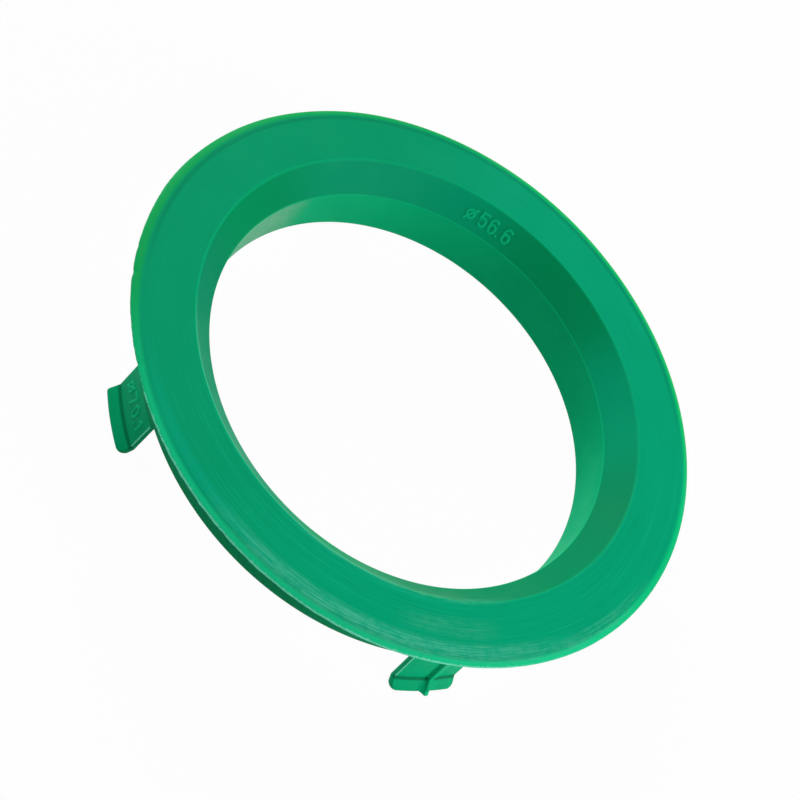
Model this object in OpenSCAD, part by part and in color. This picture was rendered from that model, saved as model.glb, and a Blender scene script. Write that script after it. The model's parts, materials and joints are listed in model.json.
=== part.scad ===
// Hub centric ring: one moulded plastic ring with a flange, a collar, a lead-in bore and four snap clips.
// The axis is Z, the flange faces up, and the clip ends stand on the plane z = 0.

/* [Bore and lead-in] */
// Diameter of the bore that seats on the hub
bore_d = 56.6; // [54:0.1:60]
// Length of the bore below the lead-in cone
bore_l = 6.8; // [4:0.1:10]
// How much wider than the bore the lead-in cone is at the front face, on each side
lead_in_w = 3.25; // [2:0.05:4.5]
// Depth of the lead-in cone
lead_in_h = 3.55; // [1.5:0.05:4.5]
// Rounding of the two edges where the inside meets the front and back faces
inner_edge_r = 0.2; // [0.1:0.05:0.4]

/* [Collar] */
// Wall between the bore and the collar's outside, which makes the collar 70.1 across
ring_wall = 6.75; // [5.5:0.05:9]
// Width of the chamfer on the collar's back edge
back_chamfer_w = 1.2; // [0.5:0.05:2]
// Height of the chamfer on the collar's back edge
back_chamfer_h = 1.45; // [0.5:0.05:2.5]
// Rounding where the chamfer meets the collar's outside
chamfer_edge_r = 0.4; // [0.2:0.05:1]

/* [Flange] */
// How far the flange stands out from the collar
flange_w = 4.55; // [3.5:0.05:7]
// Height of the thin upright wall at the flange's outer edge
rim_wall_h = 0.2; // [0.15:0.05:1]
// Width of the rolled edge on the front face
rim_roll_w = 1.3; // [0.9:0.05:1.6]
// Depth of the rolled edge
rim_roll_h = 0.45; // [0.2:0.05:0.8]
// Fillet between the flange and the collar
flange_fillet_r = 0.5; // [0.2:0.05:1]

/* [Snap clips] */
// Number of clips spaced evenly round the collar
clip_count = 4; // [2:1:8]
// Width of a clip
clip_w = 8.9; // [6:0.1:12]
// Wall thickness of a clip
clip_t = 0.7; // [0.5:0.05:1]
// Length of a clip behind the collar's back face
clip_l = 7.0; // [4:0.05:10]
// How far a clip's outside is set in from the collar's outside where it leaves the back face
clip_setback = 0.5; // [0.2:0.05:0.6]
// Outward lean of a clip in degrees
clip_lean = 4.4; // [1:0.1:7]
// Chamfer of a clip's two long outer edges
clip_edge = 0.15; // [0.05:0.05:0.3]
// How far the hook stands out from the clip's outside
hook_out = 1.2; // [0.8:0.05:2]
// Height of the hook from the clip's end to the foot of its catch face
hook_h = 1.5; // [1:0.05:2.5]
// Fillet at the foot of the catch face
hook_foot_r = 0.25; // [0.1:0.05:0.5]
// Rounding of the hook's outer edge
hook_edge_r = 0.18; // [0.1:0.01:0.3]
// Rounding of the hook's two outer corners, seen from the front
hook_corner_r = 0.8; // [0.4:0.05:2]
// Width of the sloping relief on the inside of the clip's end
end_relief_w = 0.65; // [0.3:0.05:1]

/* [Centre rib] */
// Height of the rib above the clip's outside
rib_h = 0.45; // [0.3:0.05:0.8]
// Radius of the rib's rounded crest
rib_crest_r = 0.3; // [0.15:0.05:0.3]
// Radius of the fillets along the rib's foot
rib_foot_r = 0.8; // [0.4:0.05:1.2]
// Bend radius of the rib where it turns out over the hook
rib_bend_r = 1.2; // [0.9:0.05:2]
// How far the rib's tip stands out past the hook
rib_tip_out = 0.4; // [0.2:0.05:0.8]
// Width of the rib's rounded tip
rib_tip_w = 0.85; // [0.6:0.05:1.2]
// Depth by which the rib is rooted in the clip's wall
rib_root = 0.35; // [0.2:0.05:0.45]

/* [Hidden] */
$fn = 96;

ring_green = [0.0, 0.6, 0.43];
bore_r = bore_d / 2;
lead_in_r = bore_r + lead_in_w;
collar_r = bore_r + ring_wall;
flange_r = collar_r + flange_w;

// Levels, from the clip ends upwards
back_z = clip_l;
chamfer_z = back_z + back_chamfer_h;
cone_z = back_z + bore_l;
front_z = cone_z + lead_in_h;
flange_back_z = front_z - rim_roll_h - rim_wall_h;

// Radius of the rolled edge, an arc that leaves the front face smoothly and ends at the rim wall
rim_roll_r = (pow(rim_roll_w, 2) + pow(rim_roll_h, 2)) / (2 * rim_roll_h);

// Clip section: its outside where it leaves the back face, the foot and tip of the catch face, and their slopes
root_r = collar_r - clip_setback;
foot_r = root_r + (back_z - hook_h) * tan(clip_lean);
hook_r = foot_r + hook_out;
hook_foot = [foot_r, hook_h];
hook_tip = [hook_r, hook_edge_r];
clip_dir = [-sin(clip_lean), cos(clip_lean)];
catch_dir = unit(hook_tip - hook_foot);
catch_turn = acos(-catch_dir * clip_dir);

// Rib section: centres of the crest and foot arcs and the point where they meet
rib_crest_c = [0, rib_h - rib_crest_r];
rib_foot_x = sqrt(pow(rib_foot_r + rib_crest_r, 2) - pow(rib_foot_r - rib_crest_c.y, 2));
rib_foot_c = [rib_foot_x, rib_foot_r];
rib_joint = rib_foot_c + (rib_crest_c - rib_foot_c) * rib_foot_r / (rib_foot_r + rib_crest_r);
rib_tangent = rib_bend_r * tan(catch_turn / 2);

function unit(v) = v / norm(v);

// Sliver between a corner and a round of radius r that touches both of its edges, which run along u and v
module corner_sliver(corner, u, v, r) {
    half = acos(u * v) / 2;
    reach = r / tan(half);
    centre = corner + unit(u + v) * r / sin(half);
    difference() {
        polygon([corner, corner + reach * u, centre, corner + reach * v]);
        translate(centre) circle(r);
    }
}

// Half section of the ring without its clips
module ring_section() {
    cone_dir = unit([-lead_in_w, -lead_in_h]);
    chamfer_dir = unit([-back_chamfer_w, -back_chamfer_h]);
    difference() {
        union() {
            polygon([
                [bore_r, back_z],
                [collar_r - back_chamfer_w, back_z],
                [collar_r, chamfer_z],
                [collar_r, flange_back_z],
                [flange_r, flange_back_z],
                [flange_r, front_z],
                [lead_in_r, front_z],
                [bore_r, cone_z]
            ]);
            corner_sliver([collar_r, flange_back_z], [1, 0], [0, -1], flange_fillet_r);
        }
        difference() {
            translate([flange_r - rim_roll_w, front_z - rim_roll_h]) square([rim_roll_w, rim_roll_h]);
            translate([flange_r - rim_roll_w, front_z - rim_roll_r]) circle(rim_roll_r);
        }
        corner_sliver([lead_in_r, front_z], [1, 0], cone_dir, inner_edge_r);
        corner_sliver([bore_r, back_z], [1, 0], [0, 1], inner_edge_r);
        corner_sliver([collar_r, chamfer_z], [0, 1], chamfer_dir, chamfer_edge_r);
    }
}

// Section of a clip along its length: leaning wall, filleted catch face, rounded hook edge and inside relief
module clip_section() {
    top = [root_r - back_chamfer_h * tan(clip_lean), chamfer_z];
    difference() {
        union() {
            polygon([
                hook_foot - [clip_t, 0],
                [foot_r - clip_t + end_relief_w, 0],
                [hook_r, 0],
                hook_tip,
                hook_foot,
                top,
                top - [clip_t, 0]
            ]);
            corner_sliver(hook_foot, clip_dir, catch_dir, hook_foot_r);
        }
        corner_sliver([hook_r, 0], [-1, 0], [0, 1], hook_edge_r);
    }
}

// Hook seen along the axis: straight sides and two rounded corners that touch the outer arc
module hook_outline() {
    corner_y = clip_w / 2 - hook_corner_r;
    corner_x = sqrt(pow(hook_r - hook_corner_r, 2) - pow(corner_y, 2));
    touch_y = corner_y * hook_r / (hook_r - hook_corner_r);
    translate([0, -clip_w / 2]) square([corner_x, clip_w]);
    translate([0, -touch_y]) square([hook_r + hook_corner_r, 2 * touch_y]);
    for (side = [-1, 1]) translate([corner_x, side * corner_y]) circle(hook_corner_r);
}

// Clip seen along its own length: straight sides whose outer edges are chamfered
module wall_outline() {
    corner_x = sqrt(pow(root_r, 2) - pow(clip_w / 2, 2));
    inner_y = clip_w / 2 - 2 * clip_edge;
    polygon([
        [0, -clip_w / 2],
        [corner_x - clip_edge, -clip_w / 2],
        [corner_x + clip_edge, -inner_y],
        [collar_r + clip_edge, -inner_y],
        [collar_r + clip_edge, inner_y],
        [corner_x + clip_edge, inner_y],
        [corner_x - clip_edge, clip_w / 2],
        [0, clip_w / 2]
    ]);
}

// Clip with its wide rounded hook at the end, rooted inside the collar
module clip() {
    intersection() {
        rotate_extrude() clip_section();
        union() {
            linear_extrude(hook_h + hook_foot_r) hook_outline();
            translate([root_r, 0, back_z]) rotate([0, -clip_lean, 0]) translate([-root_r, 0, -clip_l])
                linear_extrude(clip_l + bore_l) wall_outline();
        }
    }
}

// Cross-section of the rib: rounded crest on two foot fillets, with a root below the surface
module rib_section() {
    difference() {
        polygon([
            [-rib_foot_x, -rib_root],
            [rib_foot_x, -rib_root],
            [rib_foot_x, 0],
            rib_joint,
            rib_crest_c,
            [-rib_joint.x, rib_joint.y],
            [-rib_foot_x, 0]
        ]);
        for (side = [-1, 1]) translate([side * rib_foot_c.x, rib_foot_c.y]) circle(rib_foot_r);
    }
    translate(rib_crest_c) circle(rib_crest_r);
}

// Rib seen along the axis: as far as the hook's edge, then a narrow rounded tip
module rib_outline() {
    tip_r = rib_tip_w / 2;
    tip_x = hook_r + rib_tip_out - tip_r;
    translate([0, -clip_w / 2]) square([hook_r, clip_w]);
    translate([0, -tip_r]) square([tip_x, rib_tip_w]);
    translate([tip_x, 0]) circle(tip_r);
}

// Rib running down the leaning clip, round the foot of the hook and out over its catch face
module centre_rib() {
    intersection() {
        translate([foot_r, 0, hook_h]) rotate([0, -clip_lean, 0]) {
            translate([0, 0, rib_tangent]) rotate(-90) linear_extrude(clip_l) rib_section();
            translate([rib_bend_r, 0, rib_tangent]) rotate([90, 0, 0]) rotate(180)
                rotate_extrude(angle = catch_turn) translate([rib_bend_r, 0]) rotate(90) rib_section();
            rotate([0, 180 - catch_turn, 0]) translate([0, 0, rib_tangent])
                rotate(90) linear_extrude(hook_out + hook_h) rib_section();
        }
        linear_extrude(flange_back_z) rib_outline();
    }
}

module hub_ring() {
    color(ring_green) union() {
        rotate_extrude() ring_section();
        for (i = [0 : clip_count - 1]) rotate(i * 360 / clip_count) clip();
        centre_rib();
    }
}

hub_ring();
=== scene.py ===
import bpy
import json
import math
import numpy as np
from mathutils import Matrix, Vector


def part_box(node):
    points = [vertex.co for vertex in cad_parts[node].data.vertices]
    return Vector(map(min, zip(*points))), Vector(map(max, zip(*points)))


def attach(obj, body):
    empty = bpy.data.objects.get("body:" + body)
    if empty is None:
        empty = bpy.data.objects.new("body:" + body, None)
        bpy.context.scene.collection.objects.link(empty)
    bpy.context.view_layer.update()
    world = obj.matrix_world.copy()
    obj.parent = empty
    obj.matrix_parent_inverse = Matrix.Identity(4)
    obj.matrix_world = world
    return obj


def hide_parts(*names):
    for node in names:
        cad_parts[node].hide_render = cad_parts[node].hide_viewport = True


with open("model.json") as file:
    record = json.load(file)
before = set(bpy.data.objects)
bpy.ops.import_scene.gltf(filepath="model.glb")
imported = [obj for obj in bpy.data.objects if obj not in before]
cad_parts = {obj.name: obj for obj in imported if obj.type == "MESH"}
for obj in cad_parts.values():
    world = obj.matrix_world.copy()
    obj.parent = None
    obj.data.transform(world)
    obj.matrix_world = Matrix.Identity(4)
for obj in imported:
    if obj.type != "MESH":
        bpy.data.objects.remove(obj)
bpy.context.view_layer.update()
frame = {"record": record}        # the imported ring, a fixed frame in metres
mm = 0.001
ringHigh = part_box("hub_ring")[1]
mounts = {mount["name"]: mount for mount in frame["record"]["mounts"]}
print("frame loaded, ring is %.2f mm high" % (ringHigh.z / mm))

# Lengths are in millimetres until a mesh is made
ring = {
    "boreR": mounts["hub_bore"]["dims"]["r_mm"],
    "collarR": mounts["wheel_spigot"]["dims"]["r_mm"],
    "flangeR": ringHigh.x / mm,
    "frontZ": ringHigh.z / mm,
    "backZ": 7.0,            # the collar's back face
    "coneW": 3.25,           # lead-in cone, width and depth
    "coneH": 3.55,
    "coneEdge": 0.06,        # rounding at the cone's foot
    "coneSpans": 60,         # rows along the cone, which carries a number
    "innerEdge": 0.2,        # rounding of the two inside edges
    "chamferW": 1.2,         # chamfer on the collar's back edge
    "chamferH": 1.45,
    "chamferEdge": 0.4,
    "chamferFoot": 0.08,
    "rollW": 1.3,            # rolled edge of the flange
    "rollH": 0.45,
    "rollSteps": 8,
    "rimWall": 0.2,
    "rimEdge": 0.05,
    "fillet": 0.5,           # under the flange
    "step": 1.5,             # degrees between columns
    "fineStep": 0.14,        # degrees between columns under the number
}
ring["coneR"] = ring["boreR"] + ring["coneW"]
ring["coneZ"] = ring["frontZ"] - ring["coneH"]
ring["flangeBack"] = ring["frontZ"] - ring["rollH"] - ring["rimWall"]
# Direction up the cone, and straight out of its surface
coneUp = np.array([ring["coneW"], ring["coneH"]]) / math.hypot(ring["coneW"], ring["coneH"])
coneOut = np.array([-coneUp[1], coneUp[0]])

# Where the rim is a little out of round: direction, spread in degrees, and how far in or out
rimWaves = [(135, 20, 0.1), (192, 11, -0.08), (231, 9, 0.12), (272, 10, -0.14), (25, 14, 0.04), (65, 18, -0.04)]
rimNicks = [(254.2, 0.7, -0.12), (272.7, 0.6, -0.1), (248.5, 0.5, -0.05)]

flash = {
    "columns": 1600,
    "root": 0.35,            # how far the fin is rooted in the rim
    "low": 0.03,             # its height above the flange's underside
    "thick": 0.15,
    "reach": 0.05,           # mean reach past the rim
    "ragged": 0.14,          # how much that changes
    "coarse": 0.8,           # shares of long and of short teeth
    "fine": 0.5,
    "coarseStep": 5,         # columns under one long tooth
    "inward": -0.02,         # least reach before wear
    "worst": 300,            # direction where it is most ragged
    "least": 0.15,           # share of the reach that stays on the far side
    "narrow": 4,             # higher keeps the teeth nearer to the worst direction
    "seed": 7,
}

clip = {
    "width": 8.9,
    "wall": 0.7,
    "lean": 4.4,             # degrees outward
    "setback": 0.5,          # from the collar's outside, at the back face
    "hookOut": 1.2,
    "hookH": 1.5,
    "catchFillet": 0.16,     # at the foot of the catch face
    "tipR": 0.17,            # rounding of the hook's lower edge
    "cornerR": 0.8,          # rounding of the hook's corners, seen from the front
    "relief": 0.65,          # slope inside the clip's end, its width and height
    "reliefH": 1.0,
    "edge": 0.14,            # rounding of the long side edges
    "sideZone": 1.1,         # width at each side with fine columns for the hook's corner
    "sideColumns": 14,
    "middle": 3.3,           # half width of the stretch between the side zones
    "columns": 12,           # over that stretch on a plain clip, and under the rib and the number
    "ribColumns": 60,
    "numberColumns": 92,
    "rows": 10,              # down the wall, plain and under the number
    "numberRows": 74,
}
lean = math.radians(clip["lean"])
catchFootR = ring["collarR"] - clip["setback"] + (ring["backZ"] - clip["hookH"]) * math.tan(lean)
wallOut = np.array([math.cos(lean), math.sin(lean)])

# One row per clip: direction, small turn from moulding, corners at either side, and what it carries
clips = [
    {"at": 0, "turn": -0.25, "corners": (0.85, 0.8), "rib": True},
    {"at": 90, "turn": 0.0, "corners": (0.8, 0.8)},
    {"at": 180, "turn": 0.0, "corners": (0.8, 0.8)},
    {"at": 270, "turn": 0.25, "corners": (0.35, 0.8), "number": True},
]

rib = {
    "offset": 0.45,          # from the middle of its clip
    "height": 0.42,
    "steepSide": 0.34,       # width of its steep flank and of its gentle one
    "gentleSide": 1.7,
    "margin": 0.03,          # fine columns beyond either flank
    "bend": 1.3,             # fillet of the rib's crest over the hook's foot
    "tipOut": 0.66,
    "tipW": 0.85,
}

marks = {
    "height": 0.14,          # of a stroke above the surface
    "flat": 0.105,           # half width of a stroke's top
    "foot": 0.24,            # half width of a stroke at the surface
    "coneAt": 143.93,        # azimuth of the cone's number, and degrees to either side that it takes
    "coneSpread": 11.3,
    "coneMiddle": 0.48,      # share of the cone's width at the middle of the signs
    "coneRange": (0.2, 4.5),     # stretch up the cone that the number may use
    "wallRange": (2.2, 6.8),     # the same in height on the clip
    "coneText": [("o", -4.03, 2.2), ("5", -2.07, 2.32), ("6", -0.42, 2.28), (".", 0.52, 1.42), ("6", 1.9, 2.28)],
    "clipText": [("o", -2.32, 4.5), ("7", -0.48, 4.66), ("0", 1.15, 4.7), (".", 2.18, 3.68), ("1", 3.12, 4.62)],
}


def arc(cx, cy, rx, ry, start, end, steps=14):
    turns = np.radians(np.linspace(start, end, steps))
    return [(cx + rx * math.cos(t), cy + ry * math.sin(t)) for t in turns]


# Strokes of each sign round its own middle
signs = {
    "o": [arc(0, 0, 0.56, 0.56, 0, 360, 25), [(-0.7, -0.8), (0.7, 0.8)]],
    "0": [arc(0, 0, 0.48, 0.95, 0, 360, 31)],
    "1": [[(-0.38, 0.5), (0.0, 0.92), (0.0, -0.95)]],
    "5": [[(0.5, 0.95), (-0.38, 0.95), (-0.46, 0.08)] + arc(-0.02, -0.33, 0.5, 0.6, 140, -140, 19)],
    "6": [arc(0.02, 0.42, 0.5, 0.56, 40, 180) + [(-0.48, -0.35)] + arc(0.0, -0.35, 0.48, 0.6, 180, -180, 27)],
    "7": [[(-0.52, 0.95), (0.5, 0.95), (-0.1, -0.95)]],
    ".": [[(0, 0), (0.01, 0)]],
}


def reliefHeight(across, up, text):
    # Height of the raised strokes at points given across and up a surface
    best = np.full(across.shape, 9.0)
    for sign, x, y in text:
        for stroke in signs[sign]:
            for (ax, ay), (bx, by) in zip(stroke[:-1], stroke[1:]):
                ax, bx, ay, by = ax + x, bx + x, ay + y, by + y
                length = (bx - ax) ** 2 + (by - ay) ** 2
                t = np.clip(((across - ax) * (bx - ax) + (up - ay) * (by - ay)) / length, 0, 1)
                best = np.minimum(best, np.hypot(across - ax - t * (bx - ax), up - ay - t * (by - ay)))
    rise = np.clip((marks["foot"] - best) / (marks["foot"] - marks["flat"]), 0, 1)
    return marks["height"] * rise * rise * (3 - 2 * rise)


def roundedLoop(corners):
    # Corners are (x, y, radius, arc steps, spans to the next corner); returns the loop's points
    points = []
    count = len(corners)
    joins = []
    for i, (x, y, radius, steps, spans) in enumerate(corners):
        here = np.array([x, y], float)
        before = np.array(corners[i - 1][:2], float) - here
        after = np.array(corners[(i + 1) % count][:2], float) - here
        before /= np.linalg.norm(before)
        after /= np.linalg.norm(after)
        if radius <= 0:
            joins.append([here])
            continue
        half = math.acos(max(-1, min(1, float(before @ after)))) / 2
        reach = radius / math.tan(half)
        middle = before + after
        centre = here + middle / np.linalg.norm(middle) * radius / math.sin(half)
        first, last = here + before * reach - centre, here + after * reach - centre
        startTurn = math.atan2(first[1], first[0])
        sweep = math.atan2(first[0] * last[1] - first[1] * last[0], float(first @ last))
        turns = [startTurn + sweep * k / steps for k in range(steps + 1)]
        joins.append([centre + radius * np.array([math.cos(t), math.sin(t)]) for t in turns])
    for i, join in enumerate(joins):
        points += join
        nextStart = joins[(i + 1) % count][0]
        spans = corners[i][4]
        points += [join[-1] + (nextStart - join[-1]) * k / spans for k in range(1, spans)]
    return np.array(points)


def shrunkCorners(corners, inset):
    # The same corners with every side moved inwards; the loop runs clockwise
    count = len(corners)
    spots = np.array([c[:2] for c in corners], float)
    ahead = np.roll(spots, -1, axis=0) - spots
    ahead /= np.linalg.norm(ahead, axis=1)[:, None]
    inward = np.stack([ahead[:, 1], -ahead[:, 0]], axis=1)
    shrunk = []
    for i in range(count):
        a, b = ahead[i - 1], ahead[i]
        p, q = spots[i] + inward[i - 1] * inset, spots[i] + inward[i] * inset
        t = np.linalg.solve(np.stack([a, -b], axis=1), q - p)[0]
        x, y = p + a * t
        convex = a[0] * b[1] - a[1] * b[0] < 0
        radius = corners[i][2]
        if radius > 0:
            radius = max(radius - inset, 0.01) if convex else radius + inset
        shrunk.append((x, y, radius) + tuple(corners[i][3:]))
    return shrunk


def gridMesh(name, grid, closed):
    # grid is stations x loop points x 3, in millimetres; its ends meet when closed and are capped when not
    stations, count = grid.shape[:2]
    faces = []
    for i in range(stations if closed else stations - 1):
        a, b = i * count, ((i + 1) % stations) * count
        faces += [(a + k, a + (k + 1) % count, b + (k + 1) % count, b + k) for k in range(count)]
    if not closed:
        faces.append(tuple(range(count - 1, -1, -1)))
        faces.append(tuple((stations - 1) * count + k for k in range(count)))
    mesh = bpy.data.meshes.new(name)
    mesh.from_pydata((grid.reshape(-1, 3) * mm).tolist(), [], faces)
    mesh.update()
    piece = bpy.data.objects.new(name, mesh)
    bpy.context.scene.collection.objects.link(piece)
    return piece


def turned(section, azimuth):
    c, s = math.cos(math.radians(azimuth)), math.sin(math.radians(azimuth))
    return np.stack([section[:, 0] * c, section[:, 0] * s, section[:, 1]], axis=1)


def reachOfBox(azimuth):
    # Distance from the axis to the side of the ring's own box, which its circle touches on the axes
    c, s = abs(math.cos(math.radians(azimuth))), abs(math.sin(math.radians(azimuth)))
    return ring["flangeR"] / max(c, s)


def rimShift(azimuth):
    # How far the rim stands in or out of its true circle at one direction
    total = 0.0
    for middle, spread, height in rimWaves + rimNicks:
        away = (azimuth - middle + 180) % 360 - 180
        total += height * math.exp(-(away / spread) ** 2)
    return min(total, reachOfBox(azimuth) - ring["flangeR"])


def ringCorners():
    # Corners of the ring's section, from the bore's back edge up, over the flange and down the collar
    r = ring
    rollR = (r["rollW"] ** 2 + r["rollH"] ** 2) / (2 * r["rollH"])
    rollStart = r["flangeR"] - r["rollW"]
    roll = []
    for k in range(r["rollSteps"] + 1):
        x = rollStart + r["rollW"] * k / r["rollSteps"]
        roll.append((x, r["frontZ"] - rollR + math.sqrt(rollR ** 2 - (x - rollStart) ** 2), 0, 1, 1))
    roll[-1] = (roll[-1][0], roll[-1][1], r["rimEdge"], 3, 1)
    return [
        (r["boreR"], r["backZ"], r["innerEdge"], 5, 4),
        (r["boreR"], r["coneZ"], r["coneEdge"], 3, r["coneSpans"]),
        (r["coneR"], r["frontZ"], r["innerEdge"], 5, 6),
    ] + roll + [
        (r["flangeR"], r["flangeBack"], r["rimEdge"], 3, 3),
        (r["collarR"], r["flangeBack"], r["fillet"], 6, 4),
        (r["collarR"], r["backZ"] + r["chamferH"], r["chamferEdge"], 4, 2),
        (r["collarR"] - r["chamferW"], r["backZ"], r["chamferFoot"], 3, 3),
    ]


def ringBody():
    r = ring
    loop = roundedLoop(ringCorners())
    up = (loop - [r["boreR"], r["coneZ"]]) @ coneUp
    off = (loop - [r["boreR"], r["coneZ"]]) @ coneOut
    lowest, highest = marks["coneRange"]
    onCone = (abs(off) < 0.01) & (up > lowest) & (up < highest)
    towardRim = np.clip((loop[:, 0] - r["collarR"]) / (r["flangeR"] - r["collarR"]), 0, 1) ** 2
    # Fine columns only where the number stands and at the nicks
    start, end = marks["coneAt"] - marks["coneSpread"], marks["coneAt"] + marks["coneSpread"]
    azimuths = list(np.arange(end, start + 360, r["step"]))
    azimuths += list(np.arange(start, end, r["fineStep"]))
    for middle, width, height in rimNicks:
        azimuths += [middle + width * k / 2 + 0.01 for k in range(-4, 5)]
    grid = []
    meanR = r["boreR"] + r["coneW"] * marks["coneMiddle"]
    for azimuth in sorted(a % 360 for a in azimuths):
        away = (azimuth - marks["coneAt"] + 180) % 360 - 180
        section = loop.copy()
        if abs(away) < marks["coneSpread"] - 0.5:
            across = np.full(len(loop), -math.radians(away) * meanR)
            rise = reliefHeight(across, up, marks["coneText"]) * onCone
            section += rise[:, None] * coneOut
        section[:, 0] += towardRim * rimShift(azimuth)
        grid.append(turned(section, azimuth))
    return gridMesh("ring_body", np.array(grid), True)


def flashFin():
    # Thin ragged fin along the rim, left where the mould's halves met
    f, r = flash, ring
    draws = np.random.default_rng(f["seed"])
    spots = np.arange(0, f["columns"] + f["coarseStep"], f["coarseStep"])
    coarse = np.interp(np.arange(f["columns"]), spots, draws.random(f["columns"] // f["coarseStep"] + 1))
    fine = draws.random(f["columns"])
    fine = (fine + np.roll(fine, 1)) / 2
    teeth = coarse * f["coarse"] + fine * f["fine"] - (f["coarse"] + f["fine"]) / 2
    reach = f["reach"] + f["ragged"] * teeth
    z = r["flangeBack"] + f["low"]
    grid = []
    for k in range(f["columns"]):
        azimuth = 360 * k / f["columns"]
        rim = r["flangeR"] + rimShift(azimuth)
        facing = max(0.0, math.cos(math.radians(azimuth - f["worst"])))
        worn = f["least"] + (1 - f["least"]) * facing ** f["narrow"]
        tip = min(rim + max(reach[k], f["inward"]) * worn, reachOfBox(azimuth))
        section = np.array([
            [rim - f["root"], z],
            [rim - f["root"], z + f["thick"]],
            [tip, z + f["thick"] * 0.75],
            [tip, z + f["thick"] * 0.25],
        ])
        grid.append(turned(section, azimuth))
    return gridMesh("rim_flash", np.array(grid), True)


def ribHeight(y):
    # Rounded crest on two concave feet
    x = -y / rib["steepSide"] if y < 0 else y / rib["gentleSide"]
    return (0.5 + 0.5 * math.cos(math.pi * x)) * rib["height"] if x < 1 else 0.0


def clipCorners(y, spec):
    # Corners of one clip's section at a place y across its width
    c = clip
    half = c["width"] / 2
    topZ = ring["backZ"] + ring["chamferH"]
    topR = catchFootR - (topZ - c["hookH"]) * math.tan(lean)
    corner = spec["corners"][0 if y < 0 else 1]
    size = min(corner, c["cornerR"])
    into = min(max(0.0, abs(y) - (half - size)), size * 0.999)
    drop = (size - math.sqrt(size ** 2 - into ** 2)) * corner / size
    rise, nub = 0.0, 0.0
    if spec.get("rib"):
        rise = ribHeight(y - rib["offset"])
        beside = abs(y - rib["offset"]) / (rib["tipW"] / 2)
        nub = rib["tipOut"] * math.sqrt(1 - beside ** 4) if beside < 1 else 0.0
    wallDown = np.array([math.sin(lean), -math.cos(lean)])
    catch = np.array([c["hookOut"], c["tipR"] - c["hookH"]])
    catch /= np.linalg.norm(catch)
    catchOut = np.array([-catch[1], catch[0]])
    wallFrom = np.array([topR, topZ]) + wallOut * rise
    catchFrom = np.array([catchFootR, c["hookH"]]) + catchOut * rise
    t = np.linalg.solve(np.stack([wallDown, -catch], axis=1), catchFrom - wallFrom)
    foot = wallFrom + wallDown * t[0]
    tipR = catchFootR + c["hookOut"] - drop + nub
    tipZ = max(catchFrom[1] + catch[1] / catch[0] * (tipR - catchFrom[0]), c["tipR"] + 0.03)
    footRound = c["catchFillet"] + (rib["bend"] - c["catchFillet"]) * rise / rib["height"]
    rows = c["numberRows"] if spec.get("number") else c["rows"]
    insideR = catchFootR - c["wall"]
    return [
        (topR - c["wall"], topZ, 0, 1, 1),
        (wallFrom[0], wallFrom[1], 0, 1, rows),
        (foot[0], foot[1], footRound, 7, 4),
        (tipR, tipZ, 0.02, 2, 1),
        (tipR, 0.0, c["tipR"], 6, 4),
        (insideR + c["relief"], 0.0, 0.06, 3, 4),
        (insideR + (c["hookH"] - c["reliefH"]) * math.tan(lean), c["reliefH"], 0.2, 4, 8),
    ]


def clipPlaces(spec):
    # Places across a clip: fine at the rounded sides, at the hook's corners, under the rib and under the number
    c = clip
    half, edge, middle = c["width"] / 2, c["edge"], c["middle"]
    places = [half - edge + edge * math.sin(math.radians(a)) for a in range(0, 91, 15)]
    places += list(np.linspace(half - c["sideZone"], half - edge, c["sideColumns"])[:-1])
    if spec.get("number"):
        inner = np.linspace(-middle, middle, c["numberColumns"])
    elif spec.get("rib"):
        ribStart = rib["offset"] - rib["steepSide"] - rib["margin"]
        ribEnd = rib["offset"] + rib["gentleSide"] + rib["margin"]
        inner = np.concatenate([np.linspace(-middle, ribStart, 8)[:-1],
                                np.linspace(ribStart, ribEnd, c["ribColumns"]),
                                np.linspace(ribEnd, middle, 8)[1:]])
    else:
        inner = np.linspace(-middle, middle, c["columns"])
    return sorted([-p for p in places] + list(inner) + places)


def clipBody(spec):
    c = clip
    edge = c["edge"]
    lowest, highest = marks["wallRange"]
    angle = math.radians(spec["at"] + spec["turn"])
    ca, sa = math.cos(angle), math.sin(angle)
    grid = []
    for y in clipPlaces(spec):
        into = min(max(0.0, abs(y) - (c["width"] / 2 - edge)), edge)
        inset = edge - math.sqrt(edge ** 2 - into ** 2)
        loop = roundedLoop(shrunkCorners(clipCorners(y, spec), inset))
        if spec.get("number"):
            outside = loop[:, 0] > ring["collarR"] - c["setback"] - 0.3
            onWall = outside & (loop[:, 1] > lowest) & (loop[:, 1] < highest)
            rise = reliefHeight(np.full(len(loop), y), loop[:, 1], marks["clipText"]) * onWall
            loop = loop + wallOut * rise[:, None]
        x = np.sqrt(loop[:, 0] ** 2 - y ** 2)
        grid.append(np.stack([x * ca - y * sa, x * sa + y * ca, loop[:, 1]], axis=1))
    return gridMesh("clip_%d" % spec["at"], np.array(grid), False)


def outward(piece):
    # Faces of a closed piece all turned outwards
    bpy.context.view_layer.objects.active = piece
    piece.select_set(True)
    bpy.ops.object.mode_set(mode="EDIT")
    bpy.ops.mesh.select_all(action="SELECT")
    bpy.ops.mesh.normals_make_consistent(inside=False)
    bpy.ops.object.mode_set(mode="OBJECT")
    piece.select_set(False)


def joined(body, parts):
    for part in [body] + parts:
        outward(part)
    for part in parts:
        union = body.modifiers.new("join", "BOOLEAN")
        union.operation = "UNION"
        union.solver = "MANIFOLD"
        union.object = part
    evaluated = body.evaluated_get(bpy.context.evaluated_depsgraph_get())
    mesh = bpy.data.meshes.new_from_object(evaluated)
    body.modifiers.clear()
    body.data = mesh
    for part in parts:
        bpy.data.objects.remove(part)
    return body


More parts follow.
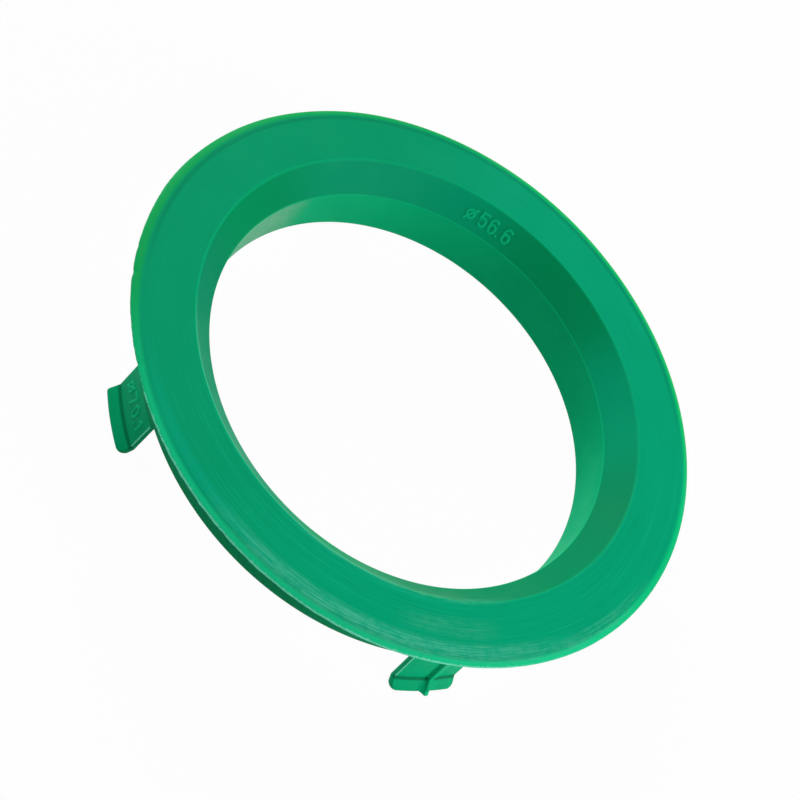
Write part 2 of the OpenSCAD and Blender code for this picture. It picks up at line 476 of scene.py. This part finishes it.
moulding = joined(ringBody(), [flashFin()] + [clipBody(spec) for spec in clips])
moulding.name = "hub_ring_moulding"
moulding.data.name = "hub_ring_moulding"
moulding.data.shade_smooth()
moulding.data.set_sharp_from_angle(angle=math.radians(32))
triangles = sum(len(face.vertices) - 2 for face in moulding.data.polygons)
print("ring made, %d triangles" % triangles)

# Colours of the plastic, with the colours of its painted light, shade, sheen, glare and highlights
finish = {
    "face": (0.0006, 0.425, 0.205, 1),       # moulded green of the flange's face
    # painted shade on the face's left side
    "leftFace": (0.0006, 0.39, 0.172, 1),
    "outer": (0.002, 0.47, 0.27, 1),         # painted sheen: the face's outer zone, lighter and a little bluer
    "cloud": (0.001, 0.30, 0.15, 1),         # slow darker unevenness
    "paleRing": (0.006, 0.52, 0.29, 1),      # faint turning marks, pale and dark
    "darkRing": (0.0006, 0.33, 0.155, 1),
    "inside": (0.0006, 0.43, 0.21, 1),       # lead-in cone, painted light on its lit parts
    "deepGreen": (0.0006, 0.38, 0.14, 1),    # painted shade on the rest of it
    # painted shade on the cone's near and left sides
    "nearCone": (0.0006, 0.31, 0.125, 1),
    "leftCone": (0.0006, 0.34, 0.163, 1),
    "clips": (0.0006, 0.46, 0.19, 1),
    # painted light on the clip at 0 degrees
    "nearClip": (0.0006, 0.51, 0.225, 1),
    # painted light: the bore painted lighter than the same plastic on the face
    "bore": (0.0006, 0.55, 0.24, 1),
    # painted shade on the collar under the flange
    "collar": (0.0006, 0.33, 0.125, 1),
    "rim": (0.002, 0.60, 0.22, 1),           # painted light: thin rolled edge painted lighter for the light it lets through
    # painted shade on the rim's far and left sides, painted light on its near side
    "farRim": (0.002, 0.57, 0.135, 1),
    "leftRim": (0.0015, 0.45, 0.11, 1),
    "nearRim": (0.010, 0.76, 0.34, 1),
    "edge": (0.22, 0.96, 0.66, 1),           # painted highlight: pale ragged edge of the flash, also on the clips' long edges
    "scuff": (0.12, 0.62, 0.40, 1),          # painted sheen: pale streaks of reflected light along the turning marks
    "worn": (0.28, 0.60, 0.40, 1),           # painted reflection: a pale patch of glare in the bore
    "line": (0.004, 0.60, 0.25, 1),          # painted highlights on rounded edges
    "raised": (0.003, 0.62, 0.28, 1),        # painted highlight on the tops of the numbers
    "shade": (0.0006, 0.22, 0.09, 1),        # painted shade in corners and along the rim's far edge
    "roughness": 0.45,
    "specular": 0.03,
    "grooves": 0.00002,                      # depth of the turning marks in metres
    "grain": 0.000012,
}

# Directions round the ring: middle, degrees to either side with the full effect, and degrees to its end; most of them
# place painted light, shade, sheen or glare
zones = {
    "brightLeft": (172, 15, 40),             # painted light on the cone
    "brightFar": (75, 15, 35),
    # painted shade on the cone
    "nearCone": (20, 30, 60),
    "leftCone": (275, 25, 48),
    "nearClip": (0, 12, 25),
    "numberClip": (270, 7, 8),
    "leftFace": (235, 60, 95),
    "outerFace": (325, 25, 62),
    "plainRings": (350, 30, 110),
    "wornBore": (217, 6, 20),
    "nearRim": (330, 30, 80),
    "farRim": (125, 30, 65),
    "leftRim": (212, 45, 80),
    "farLine": (165, 70, 95),
    "outerScuff": (-22, 12, 42),
    "middleScuff": (-9, 1, 13),
    "wideScuff": (0, 14, 45),
    "lipScuff": (340, 14, 30),
    "leadInEdge": (300, 30, 48),
    "farLeadIn": (25, 55, 80),
    "tornFlash": (315, 42, 56),
}

# Painted sheen streaks: distance from the axis, half width and soft edge in millimetres, zone and strength
faceStreakSheens = [
    (38.0, 0.5, 0.9, "outerScuff", 0.62),
    (35.1, 0.5, 1.3, "middleScuff", 0.22),
    (38.7, 0.8, 0.5, "wideScuff", 0.4),
]
lipStreakSheens = [(31.3, 0.25, 0.5, "lipScuff", 0.5)]

# How strongly each mark colours the ring: the cloud and turning rings are the plastic's own, the rest painted light,
# shade, sheen and highlights
strengths = {
    "cloud": 0.09,
    "outerFace": 0.6,
    "paleRing": 0.55,
    "darkRing": 0.50,
    "leastRings": 0.3,       # share of the rings away from the painted sheen
    "farLine": 0.4,
    "scuff": 0.9,
    "leadInEdge": 0.6,
    "leadIn": 0.5,
    "farLeadIn": 0.2,        # taken off that on the far side
    "lines": 0.9,
    "clipEdge": 0.9,
    "corner": 0.9,
    "hookTip": 0.8,
    "raised": 0.9,
    "flash": 0.8,
    "leastFlash": 0.1,
}

# Turning marks: changes per millimetre outwards, changes round the ring, detail and roughness of the noise
turning = {
    "rings": (5.0, 2.0, 4.0, 0.65),
    "streaks": (6.5, 7.0, 5.0, 0.75),
    "tear": (0.0, 70.0, 4.0, 0.75),
}
# Spots in all directions: changes per millimetre, detail and roughness
spotting = {"cloud": (0.16, 2.0, 0.5), "patch": (0.9, 3.0, 0.6), "grain": (5.0, 3.0, 0.6)}


class Painter:
    # Short calls for the nodes of one material
    def __init__(self, tree):
        self.tree = tree

    def node(self, kind, **settings):
        made = self.tree.nodes.new(kind)
        for name, value in settings.items():
            setattr(made, name, value)
        return made

    def feed(self, socket, value):
        if isinstance(value, bpy.types.NodeSocket):
            self.tree.links.new(value, socket)
        else:
            socket.default_value = value

    def math(self, operation, *values):
        made = self.node("ShaderNodeMath", operation=operation)
        for socket, value in zip(made.inputs, values):
            self.feed(socket, value)
        return made.outputs[0]

    def ramp(self, value, low, high, start=0.0, end=1.0):
        made = self.node("ShaderNodeMapRange", interpolation_type="SMOOTHSTEP")
        for socket, part in zip(made.inputs, (value, low, high, start, end)):
            self.feed(socket, part)
        return made.outputs[0]

    def band(self, value, middle, half, soft):
        away = self.math("ABSOLUTE", self.math("SUBTRACT", value, middle))
        return self.ramp(away, half, half + soft, 1.0, 0.0)

    def every(self, *values):
        total = values[0]
        for value in values[1:]:
            total = self.math("MULTIPLY", total, value)
        return total

    def largest(self, *values):
        total = values[0]
        for value in values[1:]:
            total = self.math("MAXIMUM", total, value)
        return total

    def vector(self, x, y, z):
        made = self.node("ShaderNodeCombineXYZ")
        for socket, value in zip(made.inputs, (x, y, z)):
            self.feed(socket, value)
        return made.outputs[0]

    def noise(self, vector, scale, detail, rough):
        made = self.node("ShaderNodeTexNoise")
        self.feed(made.inputs["Vector"], vector)
        made.inputs["Scale"].default_value = scale
        made.inputs["Detail"].default_value = detail
        made.inputs["Roughness"].default_value = rough
        return made.outputs["Fac"]

    def blend(self, factor, a, b):
        made = self.node("ShaderNodeMix", data_type="RGBA")
        self.feed(made.inputs[0], factor)
        self.feed(made.inputs[6], a)
        self.feed(made.inputs[7], b)
        return made.outputs[2]


class RingPainter(Painter):
    # The same with places on the ring in millimetres: distance from the axis, height and direction
    def __init__(self, tree):
        super().__init__(tree)
        place = self.node("ShaderNodeVectorMath", operation="SCALE")
        self.feed(place.inputs[0], self.node("ShaderNodeTexCoord").outputs["Object"])
        place.inputs["Scale"].default_value = 1 / mm
        self.place = place.outputs[0]
        split = self.node("ShaderNodeSeparateXYZ")
        self.feed(split.inputs[0], self.place)
        self.x, self.y, self.z = split.outputs
        self.out = self.math("SQRT", self.math("ADD", self.every(self.x, self.x), self.every(self.y, self.y)))
        self.cosine = self.math("DIVIDE", self.x, self.out)
        self.sine = self.math("DIVIDE", self.y, self.out)
        self.onFace = self.every(self.ramp(self.z, ring["frontZ"] - 0.25, ring["frontZ"] - 0.1),
                                 self.ramp(self.out, ring["coneR"] - 0.1, ring["coneR"] + 0.05))
        self.rings = self.turningMarks("rings")
        self.cloud = self.spots("cloud")
        self.patch = self.spots("patch")

    def toward(self, zone):
        azimuth, near, far = (math.radians(part) for part in zones[zone])
        match = self.math("ADD", self.every(self.cosine, math.cos(azimuth)), self.every(self.sine, math.sin(azimuth)))
        return self.ramp(match, math.cos(far), math.cos(near))

    def turningMarks(self, kind):
        outwards, around, detail, rough = turning[kind]
        place = self.vector(self.every(self.out, outwards),
                            self.every(self.cosine, around), self.every(self.sine, around))
        return self.noise(place, 1.0, detail, rough)

    def spots(self, kind):
        return self.noise(self.place, *spotting[kind])


def greenWithPaintedLight(p):
    # Colours of the ring's parts with painted light and shade by direction, a painted glare in the bore and painted
    # sheen on the outer face, and what moulding and turning left in them
    r = ring
    inBore = p.every(p.ramp(p.out, r["boreR"] + 0.4, r["boreR"] + 0.1),
                     p.ramp(p.z, r["coneZ"] + 0.2, r["coneZ"] - 0.2))
    onCollar = p.every(p.ramp(p.out, r["collarR"] - 0.85, r["collarR"] - 0.45),
                       p.ramp(p.z, r["backZ"] - 0.05, r["backZ"] + 0.1),
                       p.ramp(p.z, r["flangeBack"] + 0.05, r["flangeBack"] - 0.1))
    onClips = p.ramp(p.z, r["backZ"] + 0.1, r["backZ"] - 0.1)
    # Painted light and shade on the lead-in cone, by direction
    litCone = p.largest(p.toward("brightLeft"), p.toward("brightFar"))
    colour = p.blend(litCone, finish["deepGreen"], finish["inside"])
    colour = p.blend(p.toward("nearCone"), colour, finish["nearCone"])
    colour = p.blend(p.toward("leftCone"), colour, finish["leftCone"])
    # Painted light on the clip at 0 degrees
    colour = p.blend(onClips, colour, p.blend(p.toward("nearClip"), finish["clips"], finish["nearClip"]))
    # Painted shade on the face's left side
    colour = p.blend(p.onFace, colour, p.blend(p.toward("leftFace"), finish["face"], finish["leftFace"]))
    # Painted light: the bore lighter than the rest
    colour = p.blend(inBore, colour, finish["bore"])
    # Painted reflection: a pale patch of glare where the bore is seen at a grazing angle
    glare = p.every(inBore, p.toward("wornBore"), p.ramp(p.patch, 0.2, 0.6, 0.35, 0.65))
    colour = p.blend(glare, colour, finish["worn"])
    # Painted shade on the collar under the flange
    colour = p.blend(onCollar, colour, finish["collar"])
    # Painted sheen on the face's outer zone, on the near side
    outerFace = p.every(p.band(p.out, r["flangeR"] - 1.7, 0.3, 0.8), p.onFace, p.toward("outerFace"))
    colour = p.blend(p.every(outerFace, strengths["outerFace"]), colour, finish["outer"])
    # Slow unevenness of the colour, and faint turning rings in it, strongest where the painted sheen lies
    plain = p.math("ADD", p.every(p.toward("plainRings"), 1 - strengths["leastRings"]), strengths["leastRings"])
    colour = p.blend(p.every(p.ramp(p.cloud, 0.35, 0.65), strengths["cloud"]), colour, finish["cloud"])
    pale = p.every(p.ramp(p.rings, 0.52, 0.70), p.onFace, plain, strengths["paleRing"])
    dark = p.every(p.ramp(p.rings, 0.48, 0.32), p.onFace, plain, strengths["darkRing"])
    return p.blend(dark, p.blend(pale, colour, finish["paleRing"]), finish["darkRing"])


def rimLightAndShade(p, colour):
    # The rolled rim with painted light for what its thin edge lets through, most on the near side, and painted shade
    # on the far and left sides; on the far side a darker line of painted shade shows where it leaves the face
    r = ring
    # Painted shade: a darker line where the rim leaves the face on the far side
    farLine = p.every(p.band(p.out, r["flangeR"] - 1.45, 0.1, 0.32), p.toward("farLine"))
    colour = p.blend(p.every(farLine, strengths["farLine"]), colour, finish["shade"])
    near = p.toward("nearRim")
    rim = p.blend(p.toward("farRim"), finish["rim"], finish["farRim"])
    rim = p.blend(p.toward("leftRim"), rim, finish["leftRim"])
    rim = p.blend(near, rim, finish["nearRim"])
    start = p.math("ADD", r["flangeR"] - 0.7, p.every(near, 0.3))
    onRim = p.ramp(p.math("SUBTRACT", p.out, start), -0.55, 0.05)
    aboveFlash = p.ramp(p.z, r["flangeBack"] - 0.1, r["flangeBack"] + 0.05)
    return p.blend(p.every(onRim, aboveFlash), colour, rim)


def streakSheenMask(p):
    # Painted sheen: how strong the pale streaks of reflected light along the turning marks are at each place, low on
    # the face and inside the lip
    def spread(scuffs):
        return p.largest(*[p.every(p.band(p.out, radius, half, soft), p.toward(zone), strength)
                           for radius, half, soft, zone, strength in scuffs])

    onLip = p.ramp(p.z, ring["frontZ"] - 1.35, ring["frontZ"] - 0.95)
    where = p.largest(p.every(spread(faceStreakSheens), p.onFace), p.every(spread(lipStreakSheens), onLip))
    return p.every(where, p.ramp(p.turningMarks("streaks"), 0.38, 0.60), p.ramp(p.patch, 0.25, 0.6, 0.35, 1.1))


def edgeLightAndShade(p, colour):
    # Painted highlights on the lead-in edge, the foot of the cone and the long edges of the clips, painted shade in
    # the corner above a hook, and painted light on the hook's tip
    r, c = ring, clip
    # Painted sheen just below the lead-in edge, mostly on the near side
    leadInSheenLine = p.every(p.band(p.out, r["coneR"] - 0.13, 0.1, 0.1),
                       p.ramp(p.z, r["frontZ"] - 0.55, r["frontZ"] - 0.35), p.toward("leadInEdge"))
    # Painted highlights on the rounded lead-in edge, weaker on the far side, and at the cone's foot
    share = p.math("ADD", p.every(p.toward("farLeadIn"), -strengths["farLeadIn"]), strengths["leadIn"])
    leadInHighlight = p.every(p.band(p.out, r["coneR"], 0.06, 0.2),
                         p.ramp(p.z, r["frontZ"] - 0.35, r["frontZ"] - 0.15), share)
    footHighlight = p.every(p.band(p.z, r["coneZ"], 0.04, 0.09), p.ramp(p.out, r["boreR"] + 0.4, r["boreR"] + 0.2))
    # Painted highlight along the rounded long side edges of the clips
    beside = p.math("MINIMUM", p.math("ABSOLUTE", p.x), p.math("ABSOLUTE", p.y))
    clipEdgeHighlight = p.every(p.band(beside, c["width"] / 2 + 0.02, 0.07, 0.03),
                       p.ramp(p.z, r["backZ"] - 0.1, r["backZ"] - 0.3),
                       p.ramp(p.z, c["hookH"], c["hookH"] + 0.1),
                       p.ramp(p.out, r["collarR"] - 0.85, r["collarR"] - 0.65))
    colour = p.blend(p.every(leadInSheenLine, strengths["leadInEdge"]), colour, finish["scuff"])
    colour = p.blend(p.every(p.largest(footHighlight, leadInHighlight), strengths["lines"]), colour, finish["line"])
    colour = p.blend(p.every(clipEdgeHighlight, strengths["clipEdge"]), colour, finish["edge"])
    # Painted shade in the concave corner above each hook
    corner = p.every(p.band(p.z, c["hookH"] + 0.03, 0.19, 0.14), p.band(p.out, catchFootR + 0.05, 0.2, 0.14))
    colour = p.blend(p.every(corner, strengths["corner"]), colour, finish["shade"])
    # Painted light on the hook's thin tip, in the rim's near-side colour
    hookR = catchFootR + c["hookOut"]
    tip = p.every(p.ramp(p.out, hookR + 0.13, hookR + 0.43), p.ramp(p.z, c["hookH"] + 0.2, c["hookH"]))
    return p.blend(p.every(tip, strengths["hookTip"]), colour, finish["nearRim"])


def numberHighlights(p, colour):
    # Painted highlight: the tops of the numbers are painted a little paler than what they stand on
    def above(spotR, spotZ, direction):
        # Height over a sloping surface through one spot
        return p.math("ADD", p.every(p.math("SUBTRACT", p.out, spotR), float(direction[0])),
                      p.every(p.math("SUBTRACT", p.z, spotZ), float(direction[1])))

    r = ring
    lowest, highest = marks["wallRange"]
    onCone = p.every(p.ramp(above(r["boreR"], r["coneZ"], coneOut), 0.03, 0.11),
                     p.ramp(p.z, r["coneZ"] + 0.2, r["coneZ"] + 0.4),
                     p.ramp(p.out, r["coneR"] - 0.15, r["coneR"] - 0.35))
    onWall = p.every(p.ramp(above(catchFootR, clip["hookH"], wallOut), 0.03, 0.11),
                     p.ramp(p.z, lowest + 0.4, lowest + 0.6),
                     p.ramp(p.z, highest - 0.1, highest - 0.3), p.toward("numberClip"))
    return p.blend(p.every(p.largest(onCone, onWall), strengths["raised"]), colour, finish["raised"])


def raggedFlash(p, colour):
    # Painted highlight on the torn edge of the flash, whitest on the near side
    torn = p.every(p.math("SUBTRACT", p.turningMarks("tear"), 0.47), 0.5)
    start = p.math("ADD", ring["flangeR"] - 0.1, torn)
    past = p.ramp(p.math("SUBTRACT", p.out, start), -0.06, 0.06)
    white = p.math("ADD", p.every(p.toward("tornFlash"), strengths["flash"]), strengths["leastFlash"])
    onFlash = p.ramp(p.z, ring["flangeBack"] - 0.1, ring["flangeBack"])
    return p.blend(p.every(past, onFlash, white), colour, finish["edge"])


def bump(p, height, depth, normal=None):
    made = p.node("ShaderNodeBump")
    made.inputs["Strength"].default_value = 1.0
    made.inputs["Distance"].default_value = depth
    p.feed(made.inputs["Height"], height)
    if normal:
        p.feed(made.inputs["Normal"], normal)
    return made.outputs[0]


def greenPlastic():
    material = bpy.data.materials.new("greenPlastic")
    material.use_nodes = True
    shader = material.node_tree.nodes["Principled BSDF"]
    p = RingPainter(material.node_tree)
    scuff = streakSheenMask(p)
    colour = rimLightAndShade(p, greenWithPaintedLight(p))
    # Painted sheen: pale streaks of reflected light
    colour = p.blend(p.every(scuff, strengths["scuff"]), colour, finish["scuff"])
    colour = raggedFlash(p, numberHighlights(p, edgeLightAndShade(p, colour)))
    p.feed(shader.inputs["Base Color"], colour)
    uneven = p.ramp(p.cloud, 0.3, 0.7, finish["roughness"] - 0.05, finish["roughness"] + 0.07)
    p.feed(shader.inputs["Roughness"], p.math("ADD", p.every(scuff, 0.15), uneven))
    shader.inputs["Specular IOR Level"].default_value = finish["specular"]
    grooves = bump(p, p.every(p.rings, p.largest(p.onFace, 0.25)), finish["grooves"])
    p.feed(shader.inputs["Normal"], bump(p, p.spots("grain"), finish["grain"], grooves))
    return material


moulding.data.materials.clear()
moulding.data.materials.append(greenPlastic())
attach(moulding, "root")
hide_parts("hub_ring")
print("material on")

# Lamps: direction round the ring, height in degrees, distance and size in metres, power in watts
lamps = [
    ("backLamp", 183, 28, 1.40, 0.70, 11.8),
    ("lowLamp", 45, 14, 0.40, 0.20, 0.78),
    ("sideLamp", 30, 45, 0.45, 0.25, 0.52),
    ("fillLamp", 225, 45, 0.80, 0.40, 1.05),
    ("cornerLamp", 150, 45, 0.80, 0.40, 0.8),
    ("frontLamp", 290, 15, 0.60, 0.30, 0.31),
]

studio = {
    "aim": (0, 0, 0.01),         # where the lamps point
    "worldLight": 0.03,
    "floorColour": (0.8, 0.8, 0.8, 1),
    "floorWhite": 0.97,      # the rest of the floor's look keeps the ring's shadow
    "floorMirrored": 0.35,   # the same for reflections in the ring
    "floorReach": 3.0,
    "floorLow": 0.0001,      # how far it lies below the clip ends
}


def areaLamp(name, azimuth, height, distance, size, power):
    a, e = math.radians(azimuth), math.radians(height)
    place = Vector((math.cos(a) * math.cos(e), math.sin(a) * math.cos(e), math.sin(e))) * distance
    lamp = bpy.data.lights.new(name, "AREA")
    lamp.size = size
    lamp.energy = power
    holder = bpy.data.objects.new(name, lamp)
    holder.location = place
    holder.rotation_euler = (Vector(studio["aim"]) - place).to_track_quat("-Z", "Y").to_euler()
    bpy.context.scene.collection.objects.link(holder)


def whiteToCamera(tree, shade, output, cameraShare, mirrorShare):
    # Camera rays, and glossy and transmission rays, see white; the rest of the shade stays as it is
    p = Painter(tree)
    path = p.node("ShaderNodeLightPath")
    mirrored = p.largest(path.outputs["Is Glossy Ray"], path.outputs["Is Transmission Ray"])
    seen = p.largest(p.every(path.outputs["Is Camera Ray"], cameraShare), p.every(mirrored, mirrorShare))
    onFloor = output.bl_idname == "ShaderNodeOutputMaterial"
    white = p.node("ShaderNodeEmission" if onFloor else "ShaderNodeBackground")
    white.inputs["Color"].default_value = (1, 1, 1, 1)
    white.inputs["Strength"].default_value = 1.0
    mix = p.node("ShaderNodeMixShader")
    p.feed(mix.inputs["Fac"], seen)
    p.feed(mix.inputs[1], shade.outputs[0])
    p.feed(mix.inputs[2], white.outputs[0])
    p.feed(output.inputs["Surface"], mix.outputs[0])


def studioWorld():
    world = bpy.data.worlds.new("studioWorld")
    world.use_nodes = True
    nodes = world.node_tree.nodes
    nodes["Background"].inputs["Color"].default_value = (1, 1, 1, 1)
    nodes["Background"].inputs["Strength"].default_value = studio["worldLight"]
    whiteToCamera(world.node_tree, nodes["Background"], nodes["World Output"], 1.0, 1.0)
    return world


def floorPaint():
    paint = bpy.data.materials.new("floorPaint")
    paint.use_nodes = True
    nodes = paint.node_tree.nodes
    nodes.remove(nodes["Principled BSDF"])
    shade = nodes.new("ShaderNodeBsdfDiffuse")
    shade.inputs["Color"].default_value = studio["floorColour"]
    whiteToCamera(paint.node_tree, shade, nodes["Material Output"], studio["floorWhite"], studio["floorMirrored"])
    return paint


for lamp in lamps:
    areaLamp(*lamp)
bpy.context.scene.world = studioWorld()

reach = studio["floorReach"]
floorMesh = bpy.data.meshes.new("studio_floor")
floorCorners = [(-reach, -reach, 0), (reach, -reach, 0), (reach, reach, 0), (-reach, reach, 0)]
floorMesh.from_pydata(floorCorners, [], [(0, 1, 2, 3)])
floorMesh.materials.append(floorPaint())
floor = bpy.data.objects.new("studio_floor", floorMesh)
floor.location.z = -studio["floorLow"]
bpy.context.scene.collection.objects.link(floor)

camera = {
    "place": (0.10381, -0.12376, 0.19016),
    "right": (0.2017, 0.8581, 0.4722),
    "back": (0.4276, -0.5109, 0.7457),
    "lens": 84.865,
    "sensor": 36.0,
    "clipStart": 0.01,
}
lensData = bpy.data.cameras.new("camera")
lensData.lens = camera["lens"]
lensData.sensor_width = camera["sensor"]
lensData.clip_start = camera["clipStart"]
view = bpy.data.objects.new("camera", lensData)
back = Vector(camera["back"]).normalized()
up = back.cross(Vector(camera["right"])).normalized()
right = up.cross(back)
view.matrix_world = Matrix.Translation(camera["place"]) @ Matrix((right, up, back)).transposed().to_4x4()
bpy.context.scene.collection.objects.link(view)
bpy.context.scene.camera = view
bpy.context.scene.view_settings.view_transform = "Standard"
print("studio ready")
